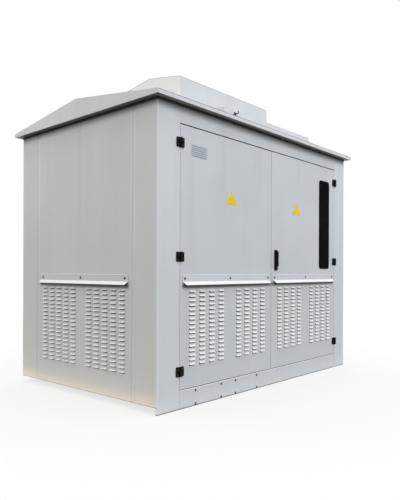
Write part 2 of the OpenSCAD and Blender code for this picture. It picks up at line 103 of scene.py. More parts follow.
class Wire:
    """A socket of a node tree; sums and products of wires add Math nodes to the tree."""

    def __init__(self, tree, socket=None):
        self.tree = tree
        self.socket = socket

    def node(self, kind, inputs=None, output=0, **settings):
        """Add a node: its settings first, then values or wires for its sockets; give back one output."""
        made = self.tree.nodes.new(kind)
        for name, value in settings.items():
            setattr(made, name, value)
        for name, value in (inputs or {}).items():
            if isinstance(value, Wire):
                self.tree.links.new(value.socket, made.inputs[name])
            else:
                made.inputs[name].default_value = value
        return Wire(self.tree, made.outputs[output] if made.outputs else None)

    def maths(self, operation, first, second=0.0):
        return self.node("ShaderNodeMath", {0: first, 1: second}, operation=operation)

    def __abs__(self):
        return self.maths("ABSOLUTE", self)

    def __add__(self, other):
        return self.maths("ADD", self, other)

    __radd__ = __add__

    def __sub__(self, other):
        return self.maths("SUBTRACT", self, other)

    def __rsub__(self, other):
        return self.maths("SUBTRACT", other, self)

    def __mul__(self, other):
        return self.maths("MULTIPLY", self, other)

    __rmul__ = __mul__

    def between(self, low, high):
        """Smooth step of this value: 0 up to low, 1 from high on; low may be the larger of the two."""
        return self.node("ShaderNodeMapRange", {"Value": self, "From Min": low, "From Max": high},
                         interpolation_type="SMOOTHSTEP")

    def blend(self, first, second):
        """Colour that goes from first to second as this value goes from 0 to 1; each is a tone or a wire."""
        first, second = (end if isinstance(end, Wire) else (*end, 1.0) for end in (first, second))
        return self.node("ShaderNodeMix", {0: self, 6: first, 7: second}, output=2, data_type="RGBA")


print("wire class ready:", Wire.__name__)

# %% [markdown]
# Every finish starts with an empty tree and ends in one shader, and most read the same patterns. Each could
# spell that out, but four short functions leave the finishes with their own sums.

# %% Finish helpers


def new_finish(name):
    """Material with an empty tree; give back the material and a wire to start from."""
    finish = bpy.data.materials.new(name)
    finish.use_nodes = True
    finish.node_tree.nodes.clear()
    return finish, Wire(finish.node_tree)


def end_finish(start, **sockets):
    """Close a finish with one Principled shader; names of its sockets are written with _ for a space."""
    inputs = {name.replace("_", " "): value for name, value in sockets.items()}
    shader = start.node("ShaderNodeBsdfPrincipled", inputs, output="BSDF")
    start.node("ShaderNodeOutputMaterial", {"Surface": shader})


def axes(start, vector, names="XYZ"):
    """The parts of a vector along the named axes, each as a wire."""
    return {axis: start.node("ShaderNodeSeparateXYZ", {0: vector}, output=axis) for axis in names}


def noise(start, place, scale, detail=2.0, roughness=0.5):
    return start.node("ShaderNodeTexNoise", {"Vector": place, "Scale": scale, "Detail": detail,
                                             "Roughness": roughness}, output=0)


print("finish helpers ready")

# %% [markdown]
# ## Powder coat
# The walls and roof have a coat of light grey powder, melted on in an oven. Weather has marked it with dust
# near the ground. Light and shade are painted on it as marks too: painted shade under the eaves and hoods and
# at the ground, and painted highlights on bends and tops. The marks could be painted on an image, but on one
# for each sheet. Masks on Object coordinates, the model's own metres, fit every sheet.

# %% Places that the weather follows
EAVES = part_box("front_header")[1][2]
SIDE_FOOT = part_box("left_louvre_panel")[0][2]
SIDE_SKIN = abs(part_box("left_front_strip")[0][0])
HOOD_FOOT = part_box("left_door_hood")[0][2]
HOOD_REACH = abs(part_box("left_door_hood")[0][0]), abs(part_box("left_side_hood")[0][1])
HOUSE_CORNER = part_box("front_right_post")[1][0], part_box("rear_right_post")[1][1]
COWL_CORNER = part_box("cowl_walls")[1][:2]
BEND = 0.008
FASCIA = 0.028
print("eaves at", round(EAVES, 3), "hoods at", round(HOOD_FOOT, 3), "side walls from", round(SIDE_FOOT, 3))

# %% [markdown]
# ### Tone of the coat
# From a few steps away the tone drifts a little over each sheet, and rain leaves faint upright streaks. The
# upper part is painted paler, as painted light from above. One flat colour would look like plastic, so two
# noises mix the tone towards a shade: a round one for the drift, and one stretched upright for the rain.

# %% Tone with clouds and streaks
CLOUD_SCALE = 1.3
STREAK_STRETCH = (9.0, 9.0, 0.35)
CLOUD_SHARE = 0.55
CLOUD_STEP = (0.30, 0.75)
STREAK_STEP = (0.45, 0.80)
SHADE_LEVEL = 0.94
# The coat is painted paler towards the eaves: painted light from above.
PALER_HEIGHTS = (0.65, 1.92)
UPPER_LIGHT_LIFT = 1.12
LOOKS_LEFT = (-0.6, -0.9)
ENDS_FADE = 0.3


def scaled(tone, level):
    return tuple(level * part for part in tone)


def coat_body(start, place, height, lean, clouds, tone, ends):
    """Tone painted paler with height, as painted light from above, then mixed towards its shade by a sum of
    clouds and streaks.

    ends is the tone of sheets that look towards -X: painted light on the cowl, painted shade on the hoods and
    the saddle."""
    stretched = start.node("ShaderNodeVectorMath", {0: place, 1: STREAK_STRETCH}, operation="MULTIPLY")
    streaks = noise(start, stretched, 1.0, detail=4.0, roughness=0.6)
    shade = clouds.between(*CLOUD_STEP) * CLOUD_SHARE + streaks.between(*STREAK_STEP) * (1 - CLOUD_SHARE)
    lit_above = height.between(*PALER_HEIGHTS).blend(tone, scaled(tone, UPPER_LIGHT_LIFT))
    body = shade.blend(lit_above, scaled(tone, SHADE_LEVEL))
    # Faces that look towards -X take their own tone: painted light on the cowl, painted shade on the hoods
    # and the saddle.
    if ends:
        body = (lean["X"].between(*LOOKS_LEFT) * (1.0 - ENDS_FADE * shade)).blend(body, ends)
    return body


print("streaks are", round(STREAK_STRETCH[0] / STREAK_STRETCH[2]), "times as tall as wide")

# %% [markdown]
# ### Painted highlights and shade
# A painted highlight lies along the upright bends at the corners. Painted shade lies under the eaves, a
# little deeper on the long walls, and just below the drip hoods, and a painted shadow line lies in the bend
# at the top of a roof sheet's fascia. Each mark could be a thin piece, but it is only skin deep, so it is a
# mask: a product of smooth steps in height and along the wall.

# %% Painted highlights and shade
# A painted highlight along the upright bends at the corners.
BEND_HIGHLIGHT_TONE = (0.88, 0.91, 0.95)
BEND_HIGHLIGHT_SHARE = 0.40
# Painted shade, under the eaves and just below the hoods.
PAINTED_SHADE_TONE = (0.050, 0.050, 0.048)
EAVES_SHADE_DROP = 0.070
EAVES_SHADE_LONG_WALLS = 0.008
HOOD_DROP = 0.026
HOOD_LIP = 0.010
HOOD_FADE = 0.004
# Width of the painted shadow line in the fascia's bend.
FASCIA_SHADOW_WIDTH = 0.0034


def upright_bend(spot, corner):
    """1 on the upright bends at four corners: both |X| and |Y| lie within a bend of the corner's."""
    near = [(abs(spot[axis]), reach) for axis, reach in zip("XY", corner)]
    bends = [place.between(reach - 1.3 * BEND, reach - 0.5 * BEND) * place.between(reach + 0.5 * BEND, reach)
             for place, reach in near]
    return bends[0] * bends[1]


def under_hoods(spot, endwise):
    """1 just below the drip hoods: within their drop in height, and within their reach along their wall."""
    within = [abs(spot[axis]).between(reach + HOOD_FADE, reach - HOOD_FADE)
              for axis, reach in zip("XY", HOOD_REACH)]
    below = (spot["Z"].between(HOOD_FOOT - HOOD_DROP, HOOD_FOOT)
             * spot["Z"].between(HOOD_FOOT + 2 * HOOD_LIP, HOOD_FOOT + HOOD_LIP))
    return below * ((1.0 - endwise) * within[0] + endwise * within[1])


def painted_shade_marks(colour, spot, endwise, eaves_shade, hood_shade, edge_shade):
    """Colour mixed towards painted shade under the eaves and hoods, by two strengths.

    The last tone is the painted shade of a roof sheet's cut ends, and of the painted shadow line in its
    fascia's bend."""
    if eaves_shade:
        # Painted shade under the eaves, a little deeper on the long walls.
        raised = spot["Z"] + EAVES_SHADE_LONG_WALLS * (1.0 - endwise)
        colour = (eaves_shade * raised.between(EAVES - EAVES_SHADE_DROP, EAVES)).blend(colour, PAINTED_SHADE_TONE)
    # Painted shade just below the drip hoods.
    if hood_shade:
        colour = (hood_shade * under_hoods(spot, endwise)).blend(colour, PAINTED_SHADE_TONE)
    # A painted shadow line in the bend at the top of the fascia, and painted shade on the roof sheets' ends.
    if edge_shade:
        top = EAVES + FASCIA
        fascia_shadow_line = spot["Z"].between(top - 1.2 * FASCIA_SHADOW_WIDTH, top - 0.9 * FASCIA_SHADOW_WIDTH)
        colour = (1.0 - (1.0 - endwise) * (1.0 - fascia_shadow_line)).blend(colour, edge_shade)
    return colour


print("soot reaches", EAVES_SHADE_DROP, "below the eaves and", HOOD_DROP, "below the hoods")

# %% [markdown]
# ### Tops and undersides
# Faces that look up get painted light, on hoods and louvres; on the roof they are dusty and painted darker,
# against the strong light from above. On the shaded sides only the part of a louvre that stands well out gets
# painted light. Undersides, such as soffits and the lips of the hoods, get painted shade. Faces could be
# given material slots one by one, but a folded sheet has hundreds, so the piece's own normal tells them
# apart. It stays with a door that swings.

# %% Tops and undersides
LOOKS_UP = (0.25, 0.75)
LOOKS_DOWN = (-0.25, -0.60)
LOUVRE_PROUD = (0.003, 0.009)


def tops_and_undersides(colour, spot, lean, endwise, tops, under):
    """Colour mixed towards the painted light of tops where the normal rises, and towards the painted shade of
    undersides where it falls.
    """
    proud = abs(spot["X"]).between(*(SIDE_SKIN + out for out in LOUVRE_PROUD))
    lit_tops = lean["Z"].between(*LOOKS_UP) * (1.0 - endwise * (1.0 - proud))
    return lean["Z"].between(*LOOKS_DOWN).blend(lit_tops.blend(colour, tops), under)


print("a face is a top from a slope of", LOOKS_UP[0], "and an underside from", LOOKS_DOWN[0])

# %% [markdown]
# ### Dust, painted bounce light, painted contact shade and rust
# Dust from the ground clouds the lowest hand's breadth. Along the sides it is sandy and pale, under a thin
# warm haze that reaches higher: both are dust and painted warm light thrown up from the ground. It ends in a
# line of painted contact shade at the ground and a rusty line at the edge of the side sheets. Particles could
# stand for the dust, but settled dust has no grains to see: a step in height times a cloudy noise gives its
# ragged upper edge.

# %% Dust, painted bounce light, painted contact shade and rust
DUST_TOP = 0.16
GRIME_SHARE = 0.65
DUST_TONE = (0.720, 0.735, 0.745)
# The sand and haze tones of the side sheets are dust with painted warm light thrown up from the ground.
SAND_AND_BOUNCE_TONE = (0.900, 0.812, 0.690)
HAZE_AND_BOUNCE_TONE = (0.640, 0.570, 0.440)
HAZE_SHARE = 0.18
HAZE_HEIGHTS = (1.2, 0.2)
# A thin line of painted contact shade at the ground.
CONTACT_SHADE_HEIGHTS = (0.009, 0.005)
CONTACT_SHADE_TONE = (0.100, 0.098, 0.094)
RUST_HEIGHTS = (0.006, 0.003)
FOOT_EDGE = (-0.002, -0.001)
RUST_TONE = (0.260, 0.215, 0.175)


def ground_dust(start, place, height, dust):
    """Strength of the dust: 1 at the ground to 0 at its top, times a cloudy noise."""
    grime = noise(start, place, 14.0, detail=4.0, roughness=0.65)
    return dust * (1.0 - height.between(0.0, DUST_TOP)) * (1 - GRIME_SHARE + GRIME_SHARE * grime)


def ground_marks(colour, height, endwise, dust, dusty):
    """Colour mixed in turn towards haze and dust, with painted warm bounce light on the sides, painted
    contact shade at the ground and rust at the sides' foot.
    """
    side_sheet = endwise * height.between(*(SIDE_FOOT + rise for rise in FOOT_EDGE))
    hazed_and_warmed = (HAZE_SHARE * dust * endwise * height.between(*HAZE_HEIGHTS)).blend(colour, HAZE_AND_BOUNCE_TONE)
    clouded = dusty.blend(hazed_and_warmed, side_sheet.blend(DUST_TONE, SAND_AND_BOUNCE_TONE))
    contact_shaded = (dust * height.between(*CONTACT_SHADE_HEIGHTS)).blend(clouded, CONTACT_SHADE_TONE)
    rust_line = height.between(*(SIDE_FOOT + rise for rise in RUST_HEIGHTS))
    return (dust * side_sheet * rust_line).blend(contact_shaded, RUST_TONE)


print("dust reaches", DUST_TOP, "above the ground")

# %% [markdown]
# ### The coat as one finish
# The marks lie over each other on the sheet. A shader for each could be layered, but one colour that is
# mixed mark by mark needs a single shader. The coat's fine orange peel is too shallow to model, so it is a
# bump.

# %% The coat as one finish
ENDWISE = (0.6, 0.9)
# Undersides take this tone as painted shade.
UNDERSIDE_SHADE_TONE = (0.195, 0.197, 0.187)
PEEL_SCALE = 420.0
PEEL_STRENGTH = 0.12
PEEL_DEPTH = 0.0004
COAT_SHINE = 0.42
CLOUD_GLOSS = 0.10
DUST_GLOSS = 0.25


def powder_coat(name, tone, tops, corner, roughness=0.44, dust=0.0, eaves_shade=0.0, hood_shade=0.0, under=UNDERSIDE_SHADE_TONE,
                ends=None, edge_shade=None):
    """Coat: its body, mixed in turn towards the painted highlight on bends, painted shade, painted light on
    tops and painted shade on undersides, and the marks of the ground.

    dust and the two strengths of painted shade, under the eaves and below the hoods, run from 0 to 1; tops,
    under and ends are tones, and so is the painted shade of the roof's edges."""
    finish, start = new_finish(name)
    place = start.node("ShaderNodeTexCoord", output="Object")
    spot = axes(start, place)
    lean = axes(start, start.node("ShaderNodeTexCoord", output="Normal"), "XZ")
    endwise = abs(lean["X"]).between(*ENDWISE)
    clouds = noise(start, place, CLOUD_SCALE, detail=3.0)
    gloss = roughness + CLOUD_GLOSS * clouds
    body = coat_body(start, place, spot["Z"], lean, clouds, tone, ends)
    # A painted highlight along the upright bends at the corners.
    with_highlight = (BEND_HIGHLIGHT_SHARE * upright_bend(spot, corner)).blend(body, BEND_HIGHLIGHT_TONE)
    with_painted_shade = painted_shade_marks(with_highlight, spot, endwise, eaves_shade, hood_shade, edge_shade)
    colour = tops_and_undersides(with_painted_shade, spot, lean, endwise, tops, under)
    if dust:
        dusty = ground_dust(start, place, spot["Z"], dust)
        colour = ground_marks(colour, spot["Z"], endwise, dust, dusty)
        gloss = gloss + DUST_GLOSS * dusty
    peel = noise(start, place, PEEL_SCALE, detail=1.0)
    bump = start.node("ShaderNodeBump", {"Strength": PEEL_STRENGTH, "Distance": PEEL_DEPTH, "Height": peel})
    end_finish(start, Base_Color=colour, Roughness=gloss, Normal=bump, Specular_IOR_Level=COAT_SHINE)
    return finish


print("peel is", round(1 / PEEL_SCALE, 4), "wide")

# %% [markdown]
# ### Coats of the house
# One coat for the whole house would be shorter, but the posts are paler than the doors, the hoods catch
# more light, and the roof is the palest, so each kind of sheet has its own tone. What the walls share, and
# what the roof shares, is written once.

# %% Coats of the walls
WALL_TONE = (0.543, 0.578, 0.615)
POST_TONE = (0.584, 0.620, 0.662)
BEAD_TONE = (0.630, 0.668, 0.682)
BASE_TONE = (0.20, 0.20, 0.20)
# Faces that look up take the tops tones below as painted light, and the hoods' lips take painted shade.
TOP_LIGHT_TONE = (0.80, 0.815, 0.83)
HOOD_TONE = (0.556, 0.590, 0.632)
# The hoods' faces that look left take painted shade.
HOOD_LEFT_SHADE_TONE = (0.520, 0.548, 0.578)
HOOD_TOP_LIGHT = (0.752, 0.774, 0.794)
LIP_SHADE_TONE = (0.018, 0.018, 0.018)
ON_WALLS = {"tops": TOP_LIGHT_TONE, "corner": HOUSE_CORNER, "dust": 0.80, "eaves_shade": 0.95}

wall_coat = powder_coat("wall_coat_finish", WALL_TONE, **ON_WALLS)
leaf_coat = powder_coat("leaf_coat_finish", WALL_TONE, hood_shade=0.70, **ON_WALLS)
post_coat = powder_coat("post_coat_finish", POST_TONE, **ON_WALLS)
bead_coat = powder_coat("bead_coat_finish", BEAD_TONE, roughness=0.50, **ON_WALLS)
hood_coat = powder_coat("hood_coat_finish", HOOD_TONE, HOOD_TOP_LIGHT, HOUSE_CORNER, under=LIP_SHADE_TONE,
                        ends=HOOD_LEFT_SHADE_TONE)
base_coat = powder_coat("base_coat_finish", BASE_TONE, BASE_TONE, HOUSE_CORNER, roughness=0.55, dust=0.45)
print("wall coats:", wall_coat.name, "to", base_coat.name)

# %% Coats of the roof
ROOF_TONE = (0.605, 0.630, 0.660)
# Tops of the roof are dusty, and painted darker against the strong light from above; the long soffits take
# painted shade.
ROOF_TOP_DUST_AND_SHADE = (0.50, 0.505, 0.50)
LONG_SOFFIT_SHADE_TONE = (0.390, 0.394, 0.374)
COWL_TONE = (0.572, 0.602, 0.636)
# Faces of the cowl that look left are painted light, those of the saddle painted shade.
COWL_LEFT_LIGHT_TONE = (0.765, 0.790, 0.822)
SADDLE_LEFT_SHADE_TONE = (0.530, 0.570, 0.625)
# A painted shadow line round the roof: on the sheets' cut ends, in the fascia's bend and on the lid's rim.
EDGE_SHADE_TONE = (0.170, 0.174, 0.180)
ON_ROOF = {"tops": ROOF_TOP_DUST_AND_SHADE, "corner": COWL_CORNER, "roughness": 0.42}

roof_coat = powder_coat("roof_coat_finish", ROOF_TONE, **ON_ROOF)
sheet_coat = powder_coat("sheet_coat_finish", ROOF_TONE, under=LONG_SOFFIT_SHADE_TONE, edge_shade=EDGE_SHADE_TONE, **ON_ROOF)
cowl_coat = powder_coat("cowl_coat_finish", COWL_TONE, ends=COWL_LEFT_LIGHT_TONE, **ON_ROOF)
lid_coat = powder_coat("lid_coat_finish", EDGE_SHADE_TONE, **ON_ROOF)
saddle_coat = powder_coat("saddle_coat_finish", COWL_TONE, ends=SADDLE_LEFT_SHADE_TONE, **ON_ROOF)
print("roof coats:", roof_coat.name, "to", saddle_coat.name)

# %% [markdown]
# ## Black castings, zinc, rubber and enamel
# The hinges and the handle are black die castings, with a fine grain and a satin shine that rubs up in
# places. Screws are zinc plated, with a cloudy gloss. The seals are dull rubber with a skin of dust, and
# the small plates are enamelled. Each could have a tree of its own, but all are an even material with a
# grain and a rubbed cloud, so one function makes them.

# %% Small finishes
RUB_SCALE = 38.0
RUB_STEP = (0.45, 0.80)
RUB_GLOSS = 0.18
GRAIN_STRENGTH = 0.25
GRAIN_DEPTH = 0.0002


def grained(name, tone, worn, roughness, metallic=0.0, grain=1500, shine=0.5):
    """Even material with fine grain: colour drifts from tone to worn with a cloud, and gloss with it."""
    finish, start = new_finish(name)
    place = start.node("ShaderNodeTexCoord", output="Object")
    rubbed = noise(start, place, RUB_SCALE, detail=4.0, roughness=0.6).between(*RUB_STEP)
    fine = noise(start, place, grain)
    bump = start.node("ShaderNodeBump", {"Strength": GRAIN_STRENGTH, "Distance": GRAIN_DEPTH, "Height": fine})
    end_finish(start, Base_Color=rubbed.blend(tone, worn), Roughness=roughness + RUB_GLOSS * (0.5 - rubbed),
               Metallic=metallic, Normal=bump, Specular_IOR_Level=shine)
    return finish


black_casting = grained("black_casting", (0.005, 0.005, 0.006), (0.011, 0.011, 0.012), 0.46, shine=0.06)
dark_zinc = grained("dark_zinc", (0.085, 0.087, 0.092), (0.14, 0.14, 0.145), 0.45, metallic=0.6, grain=2400)
bright_zinc = grained("bright_zinc", (0.42, 0.43, 0.45), (0.3, 0.3, 0.31), 0.4, metallic=0.85, grain=2400)
door_rubber = grained("door_rubber", (0.018, 0.018, 0.019), (0.05, 0.048, 0.045), 0.72, grain=900, shine=0.3)
yellow_enamel = grained("yellow_enamel", (0.86, 0.625, 0.004), (0.8, 0.57, 0.004), 0.5, grain=700, shine=0.1)
black_film = grained("black_film", (0.002, 0.002, 0.003), (0.004, 0.004, 0.005), 0.5, grain=600, shine=0.015)
print("small finishes:", black_casting.name, "to", black_film.name)

# %% [markdown]
# ## Finishes on the imported sheets
# Each imported piece names the slot of its finish. Finishes could be set piece by piece, but one table from
# slot to material dresses the whole house. What was coated apart is found by the last word of its name. The
# roof sheets and the cowl's lid have dark edges, a painted shadow line round the roof. The hook is zinc
# plated wire.

# %% Dress the imported nodes
SLOT_FINISH = {"wall_coat": wall_coat, "roof_coat": roof_coat, "base_coat": base_coat,
               "black_hardware": black_casting}
COATED_APART = {"leaf": leaf_coat, "panel": leaf_coat, "post": post_coat, "hood": hood_coat,
                "hook": dark_zinc, "walls": cowl_coat, "sheet": sheet_coat, "lid": lid_coat,
                "saddle": saddle_coat}

for part in frame["record"]["subparts"]:
    last_word = part["node"].split("_")[-1]
    materials = frame["nodes"][part["node"]].data.materials
    materials.clear()
    materials.append(COATED_APART.get(last_word, SLOT_FINISH[part["material_slot"]]))

# %% [markdown]
# ## Surfaces from arrays
# The trim is turned, pressed or extruded, so each piece is a profile carried round or along a path.
# Blender's primitives could be bent into such shapes, but they hide the sizes. Here a piece is a grid of
# points, worked out as whole arrays, and its faces follow from row and column numbers.

# %% Grid helpers


def grid_faces(rows, columns, ring=True, loop=False):
    """Corner numbers of the quads of a grid; ring joins the last column to the first, loop the last row."""
    r = np.arange(rows if loop else rows - 1)[:, None]
    c = np.arange(columns if ring else columns - 1)[None, :]
    here, below = r * columns, (r + 1) % rows * columns
    right = (c + 1) % columns
    return np.stack([here + c, here + right, below + right, below + c], axis=-1).reshape(-1, 4)


def grid_shape(points, **joins):
    """Points in a row and quads of a grid of rows and columns of points."""
    return points.reshape(-1, 3), grid_faces(*points.shape[:2], **joins)


def at_heights(rims, heights):
    """Rows of flat outlines, each lifted to its own height, which becomes the third number of its points."""
    lift = np.broadcast_to(np.asarray(heights)[:, None, None], (*rims.shape[:2], 1))
    return np.concatenate([rims, lift], axis=-1)


def copies(points, faces, places):
    """Repeat one shape at each place: points shift by the place, face numbers by a whole shape."""
    every = points[None, :, :] + np.asarray(places)[:, None, :]
    shift = np.arange(len(places))[:, None, None] * len(points)
    return every.reshape(-1, 3), (faces[None] + shift).reshape(-1, 4)


def joined(*shapes):
    """Put several shapes into one: points in a row, face numbers shifted past the points before them."""
    starts = np.cumsum([0] + [len(points) for points, _ in shapes[:-1]])
    return (np.concatenate([points for points, _ in shapes]),
            np.concatenate([faces + start for (_, faces), start in zip(shapes, starts)]))


print("a ring of 3 rows and 4 columns has", len(grid_faces(3, 4)), "faces")

# %% [markdown]
# A shape becomes a piece once it has a mesh, a finish and a body to ride on. A modifier could smooth it,
# but the angle from which an edge is sharp is known here, so it is set on the mesh itself.

# %% From shape to piece
SHARP_EDGE = np.radians(35.0)


def make_piece(name, shape, body, finish):
    """Mesh piece from points and quads: poles merged, normals outwards, smooth below an angle, on a body."""
    points, faces = shape
    mesh = bpy.data.meshes.new(name)
    mesh.from_pydata(points.tolist(), [], faces.tolist())
    work = bmesh.new()
    work.from_mesh(mesh)
    bmesh.ops.remove_doubles(work, verts=work.verts, dist=1e-6)
    bmesh.ops.dissolve_degenerate(work, edges=work.edges, dist=1e-7)
    bmesh.ops.recalc_face_normals(work, faces=work.faces)
    work.to_mesh(mesh)
    work.free()
    mesh.materials.append(finish)
    mesh.shade_smooth()
    mesh.set_sharp_from_angle(angle=SHARP_EDGE)
    piece = bpy.data.objects.new(name, mesh)
    bpy.context.collection.objects.link(piece)
    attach(piece, body)
    print(name, "on", body, "points:", len(mesh.vertices), "faces:", len(mesh.polygons))
    return piece


print("edges stay sharp from", round(np.degrees(SHARP_EDGE)), "degrees on")

# %% [markdown]
# ## Wall frames
# The same screw or plate goes on any wall. An object could be turned to its wall, but a piece keeps its
# place in its mesh. So shapes are drawn flat: along the wall, up, and out of it. A wall frame, three
# directions in rows, then turns the points.

# %% Wall frames
FRONT = np.array([[1, 0, 0], [0, 0, 1], [0, -1, 0]], dtype=float)
REAR = np.array([[-1, 0, 0], [0, 0, 1], [0, 1, 0]], dtype=float)
LEFT = np.array([[0, -1, 0], [0, 0, 1], [-1, 0, 0]], dtype=float)
RIGHT = np.array([[0, 1, 0], [0, 0, 1], [1, 0, 0]], dtype=float)


def on_wall(wall, shape):
    """Along, up and out become X, Y and Z: a product with the wall's three directions."""
    points, faces = shape
    return points @ wall, faces


def box_of(node):
    low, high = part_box(node)
    return np.array(low), np.array(high)


def face_out(node, wall):
    """How far out of the house's middle the outer face of a node stands."""
    return float(np.max(np.stack(box_of(node)) @ wall[2]))


def wall_span(node, wall):
    """Lowest and highest place of a node along its wall."""
    ends = np.stack(box_of(node)) @ wall[0]
    return ends.min(), ends.max()


def skin_out(wall):
    """How far out the flat skin of a wall stands: a header at front and rear, a strip at the sides."""
    return FACE if wall is FRONT or wall is REAR else face_out("left_front_strip", LEFT)


FACE = face_out("front_header", FRONT)
print("front face at", round(FACE, 4), "rear face at", round(face_out("rear_header", REAR), 4))

# %% [markdown]
# ## Screws
# The drip hoods, kick plates and hinges are held by hexagon screws with a washer face. A six-sided cylinder
# on a disc would do from far away, but a turned profile also has the bevelled crown. On the hexagon's rows
# the radius is over the cosine of the angle to the nearest flat.

# %% Hexagon screws
SCREW_ROWS = np.array([
    # radius, height, hexagon share
    [0.00, 1.00, 0.0],
    [0.50, 1.00, 0.0],
    [0.60, 0.90, 1.0],
    [0.60, 0.30, 1.0],
    [0.74, 0.28, 0.0],
    [1.00, 0.20, 0.0],
    [1.00, 0.00, 0.0],
])


def full_turn(sides):
    return np.linspace(0, 2 * np.pi, sides, endpoint=False)


def turned(reach, rise, angle):
    """Rows of radius and height, turned through the angles about an axis that points out of the wall."""
    return np.stack(np.broadcast_arrays(reach * np.cos(angle), reach * np.sin(angle), rise), axis=-1)


def hex_screw(radius, height, sides=18):
    """Turned rows of radius and height; on hexagon rows the radius over the cosine to the nearest flat."""
    angle = full_turn(sides)
    to_flat = np.mod(angle + np.pi / 6, np.pi / 3) - np.pi / 6
    reach, rise, share = SCREW_ROWS.T[:, :, None]
    reach = reach * (1 + share * (1 / np.cos(to_flat) - 1)) * radius
    return grid_shape(turned(reach, rise * height, angle))


def spread(along, up, out):
    """Every pair of the along and up places, at one distance out."""
    a, u = np.meshgrid(along, up)
    return np.stack([a.ravel(), u.ravel(), np.full(a.size, out)], axis=-1)


def screws(name, wall, places, size, body):
    """One piece of equal screws, of a radius and a height, at flat places (along, up, out) of a wall."""
    return make_piece(name, on_wall(wall, copies(*hex_screw(*size), places)), body, dark_zinc)


print("points of a screw:", len(hex_screw(1.0, 1.0)[0]))

# %% [markdown]
# Each hood has three screws through its flange: two near its ends and one in the middle. They could be
# objects that share a mesh, but screws that never move apart are simpler as one piece, made from an array
# of places.

# %% Hood screws
HOOD_SCREW = (0.0088, 0.0055)
HOOD_SCREW_DROP = 0.023
HOOD_SKIN = 0.002
HOODS = {
    # wall, distance from an end of the hood to its screw, body, the louvred sheet that the hood is on
    "left_door_hood": (FRONT, 0.023, "left_door", "left_door_leaf"),
    "right_door_hood": (FRONT, 0.023, "right_door", "right_door_leaf"),
    "left_side_hood": (LEFT, 0.038, "house", "left_louvre_panel"),
    "right_side_hood": (RIGHT, 0.038, "house", "right_louvre_panel"),
    "rear_left_hood": (REAR, 0.023, "house", "rear_left_panel"),
    "rear_right_hood": (REAR, 0.023, "house", "rear_right_panel"),
}

for hood, (wall, end, body, _) in HOODS.items():
    low, high = wall_span(hood, wall)
    along = [low + end, (low + high) / 2, high - end]
    places = spread(along, [box_of(hood)[1][2] - HOOD_SCREW_DROP], skin_out(wall) + HOOD_SKIN)
    screws(hood + "_screws", wall, places, HOOD_SCREW, body)

# %% [markdown]
# Half of each kick plate is a cable cover, with a row of screws near the sill and one near the ground. An
# array modifier could space them, but the real ones aren't evenly spaced, so their places are listed.

# %% Kick plate screws
KICK_SCREW = (0.0090, 0.0050)
KICK_ALONG = [-0.900, -0.627, -0.462, -0.196]
KICK_UP = [0.012, 0.104]

for side, wall in (("front", FRONT), ("rear", REAR)):
    screws(side + "_kick_screws", wall, spread(KICK_ALONG, KICK_UP, FACE), KICK_SCREW, "house")

# %% [markdown]
# A hinge leaf is held by two screws, one above the other. All could be one piece, but the fixed leaf stays
# with the house while the other swings with its door, so they are made leaf by leaf.

# %% Hinge screws
HINGE_SCREW = (0.0042, 0.0024)
HINGE_SCREW_UP = 0.018
HINGE_SCREW_ALONG = 0.022
HINGE_PLATE = 0.006
HINGE_TALL = 0.064
HINGE_CLEAR = 0.088
JOINT_AT = {joint["name"]: joint["pos_m"] for joint in frame["record"]["behaviour"]["joints"]}


def hinge_middles(side):
    """Middle heights of a door's hinges: two from the ends of the hinge node's box, one above the hood."""
    low, high = box_of(side + "_hinge_frame_leaves")
    hood_top = box_of(side + "_door_hood")[1][2]
    half = HINGE_TALL / 2
    return np.array([low[2] + half, hood_top + HINGE_CLEAR + half, high[2] - half])


for side in ("left", "right"):
    pin = JOINT_AT[side + "_door_swing"][0]
    middles = hinge_middles(side)
    up = np.concatenate([middles - HINGE_SCREW_UP, middles + HINGE_SCREW_UP])
    for leaf, rider, step in (("frame", "house", 1), ("door", side + "_door", -1)):
        places = spread([pin + np.sign(pin) * step * HINGE_SCREW_ALONG], up, FACE + HINGE_PLATE)
        screws(side + "_hinge_" + leaf + "_screws", FRONT, places, HINGE_SCREW, rider)

# %% [markdown]
# ## Plates
# Thin plates and strips are punched from sheet, with round corners and a slightly rolled edge. A box with a
# Bevel modifier comes close, but gives all edges one radius. Here the outline is a polygon whose corners
# are arcs. Rows of it, drawn in and raised step by step, give face, rolled edge, rim and back.

# %% Plate shapes
FACE_STEP = 0.0015


def arc_outline(corners, radius, inset, steps=7):
    """Closed outline of a convex polygon: at each corner an arc from one edge's normal to the next edge's.

    The arc's middle is the corner less the two normals' sum times radius / (1 + their dot product)."""
    corners = np.asarray(corners, dtype=float)
    edges = np.roll(corners, -1, axis=0) - corners
    edges /= np.linalg.norm(edges, axis=1, keepdims=True)
    after = np.stack([edges[:, 1], -edges[:, 0]], axis=1)
    before = np.roll(after, 1, axis=0)
    dot = np.sum(before * after, axis=1, keepdims=True)
    middles = corners - (before + after) * radius / (1 + dot)
    first = np.arctan2(before[:, 1], before[:, 0])[:, None]
    sweep = np.arccos(np.clip(dot, -1, 1))
    angle = first + sweep * np.linspace(0, 1, steps)[None, :]
    arcs = middles[:, None, :] + (radius - inset) * np.stack([np.cos(angle), np.sin(angle)], axis=-1)
    return arcs.reshape(-1, 2)


def plate(corners, radius, thick, roll):
    """Rows from the face's middle over the rolled edge to the back's: outline(inset) at each height."""
    turn = np.linspace(0, np.pi / 2, 4)
    insets = np.concatenate([[roll + FACE_STEP], roll * (1 - np.sin(turn)), [0.0]])
    heights = np.concatenate([[thick, thick], thick - roll * (1 - np.cos(turn)), [0.0, 0.0]])
    rims = np.stack([arc_outline(corners, radius, inset) for inset in insets])
    middle = np.broadcast_to(rims[0].mean(axis=0), rims[:1].shape)
    return grid_shape(at_heights(np.concatenate([middle, rims, middle]), heights))


